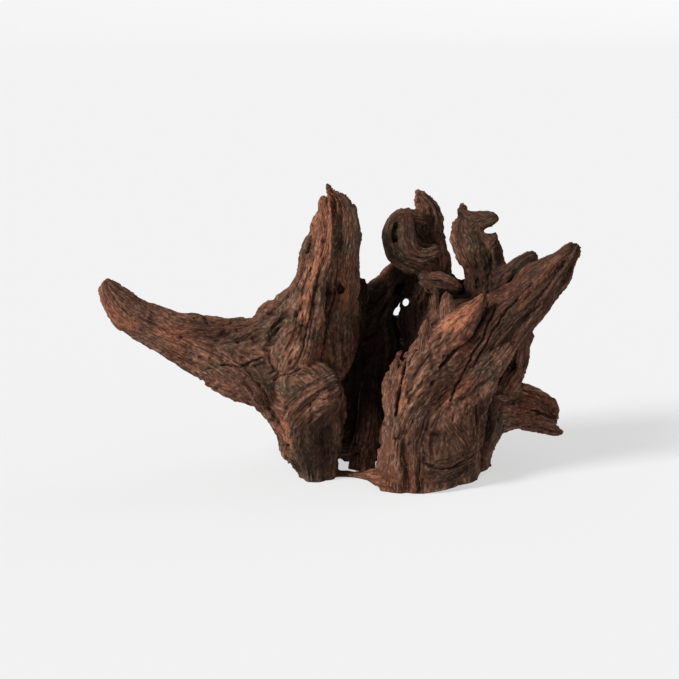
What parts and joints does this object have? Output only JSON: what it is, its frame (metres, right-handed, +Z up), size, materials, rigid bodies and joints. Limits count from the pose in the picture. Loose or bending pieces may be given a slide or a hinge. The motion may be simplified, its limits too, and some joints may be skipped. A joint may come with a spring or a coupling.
{
  "type": "aquarium driftwood",
  "caption": "Weathered root stump with a long side arm, a tall snag, curled and fluted limbs and a leaning split slab, standing on a flat-cut base to dress an aquarium or terrarium.",
  "frame": {"origin": "middle of the bounding box, on the flat plane the piece rests on", "axes": "+Z up, +X to the viewer's right along the long arm's line and the longest way across, +Y away from the viewer"},
  "size_m": [0.3118, 0.1334, 0.1936],
  "materials": {
    "driftwood": "matte, weathered red-brown with dark grooves and a few orange fresh breaks"
  },
  "bodies": {
    "root": {"root_stump": "driftwood", "long_arm": "driftwood", "tall_snag": "driftwood", "curled_limb": "driftwood", "fluted_limb": "driftwood", "leaning_slab": "driftwood", "side_stub": "driftwood"}
  },
  "joints": []
}
